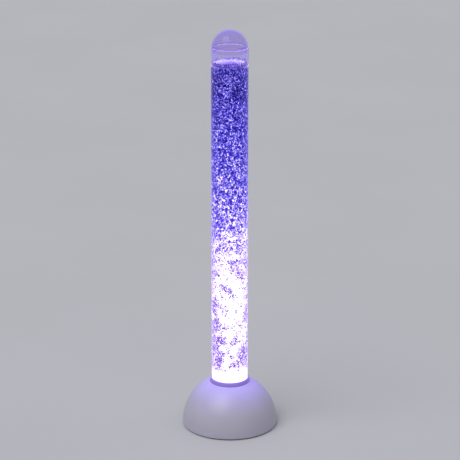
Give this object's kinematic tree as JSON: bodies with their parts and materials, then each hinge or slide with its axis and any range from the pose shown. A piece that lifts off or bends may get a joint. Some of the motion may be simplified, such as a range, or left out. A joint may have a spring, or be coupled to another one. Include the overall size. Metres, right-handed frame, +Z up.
{
  "type": "bubble tube floor lamp",
  "caption": "Tall clear tube of lit bubbling water with a domed cap, standing in a white half-round base that holds its lights, air pump and controls.",
  "frame": {"origin": "on the floor, at the tube's axis", "axes": "+Z up along the tube, -Y the side seen in the picture, +Y the service panel"},
  "size_m": [0.288, 0.288, 1.2285],
  "materials": {
    "white_shell": "satin",
    "white_collar": "satin",
    "clear_acrylic": "polished",
    "frosted_acrylic": "matte",
    "lit_water": "gloss",
    "black_rubber": "matte",
    "foot_rubber": "matte",
    "black_plastic": "matte",
    "panel_plastic": "matte",
    "rocker_red": "gloss",
    "screw_steel": "satin",
    "nickel": "polished",
    "alloy": "satin",
    "air_stone": "matte",
    "led_board_white": "satin",
    "led_light": "gloss",
    "circuit_board": "satin",
    "screening_can": "satin",
    "capacitor_sleeve": "gloss",
    "connector_green": "satin",
    "lead_jacket": "satin",
    "pump_plastic": "matte",
    "core_steel": "satin",
    "copper_winding": "satin",
    "magnet": "satin",
    "valve_plastic": "satin",
    "valve_clear": "gloss",
    "hose_silicone": "satin"
  },
  "bodies": {
    "stand": {"base_shell": "white_shell", "tube_collar": "white_collar", "collar_seal": "black_rubber", "base_plate": "black_plastic", "rubber_feet": "foot_rubber", "foot_screws": "screw_steel", "base_screws": "screw_steel", "rear_panel": "panel_plastic", "rear_panel_screws": "screw_steel", "power_inlet": "black_plastic", "power_inlet_pin": "nickel", "power_inlet_nut": "nickel", "switch_body": "black_plastic", "main_tube": "clear_acrylic", "end_plug": "clear_acrylic", "plug_seal": "black_rubber", "light_diffuser": "frosted_acrylic", "water_column": "lit_water", "air_stone": "air_stone", "inlet_stem": "nickel", "inlet_washer": "black_rubber", "inlet_nut": "nickel", "tube_socket": "black_plastic", "socket_screws": "screw_steel", "carrier_plate": "alloy", "carrier_pillars": "alloy", "pillar_screws": "screw_steel", "led_board": "led_board_white", "led_chips": "led_light", "led_board_screws": "screw_steel", "control_board": "circuit_board", "board_standoffs": "nickel", "board_screws": "screw_steel", "radio_module": "screening_can", "board_capacitors": "capacitor_sleeve", "wire_connectors": "connector_green", "driver_chips": "black_plastic", "led_lead": "lead_jacket", "pump_lead": "lead_jacket", "power_lead": "lead_jacket", "pump_case": "pump_plastic", "pump_cover": "pump_plastic", "pump_cover_screws": "screw_steel", "pump_mounts": "foot_rubber", "pump_mount_screws": "screw_steel", "pump_core": "core_steel", "pump_coil": "copper_winding", "arm_grommet": "black_rubber", "pump_diaphragm": "black_rubber", "pump_valve_box": "valve_plastic", "air_hoses": "hose_silicone", "check_valve_inlet": "valve_clear", "check_valve_outlet": "valve_plastic"},
    "cap": {"dome_cap": "clear_acrylic", "cap_sleeve": "clear_acrylic"},
    "rocker": {"switch_rocker": "rocker_red"},
    "arm": {"pump_arm": "alloy", "arm_magnet": "magnet"},
    "valve_disc": {"check_valve_disc": "black_rubber"}
  },
  "joints": [
    {"name": "cap_lift", "type": "slide", "parent": "stand", "child": "cap", "axis": [0, 0, 1], "range_m": [0, 0.1]},
    {"name": "switch_rock", "type": "hinge", "parent": "stand", "child": "rocker", "pos_m": [0.015, 0.1274, 0.036], "axis": [0, 0, 1], "range_deg": [0, 16]},
    {"name": "arm_swing", "type": "hinge", "parent": "stand", "child": "arm", "pos_m": [-0.098, 0.038, 0.033], "axis": [1, 0, 0], "range_deg": [-1.5, 1.5], "stiffness_Nm_per_rad": 1.8, "springref_deg": -0.12, "deforming": ["pump_diaphragm"]},
    {"name": "valve_disc_slide", "type": "slide", "parent": "stand", "child": "valve_disc", "axis": [1, 0, 0], "range_m": [0, 0.0025]}
  ]
}
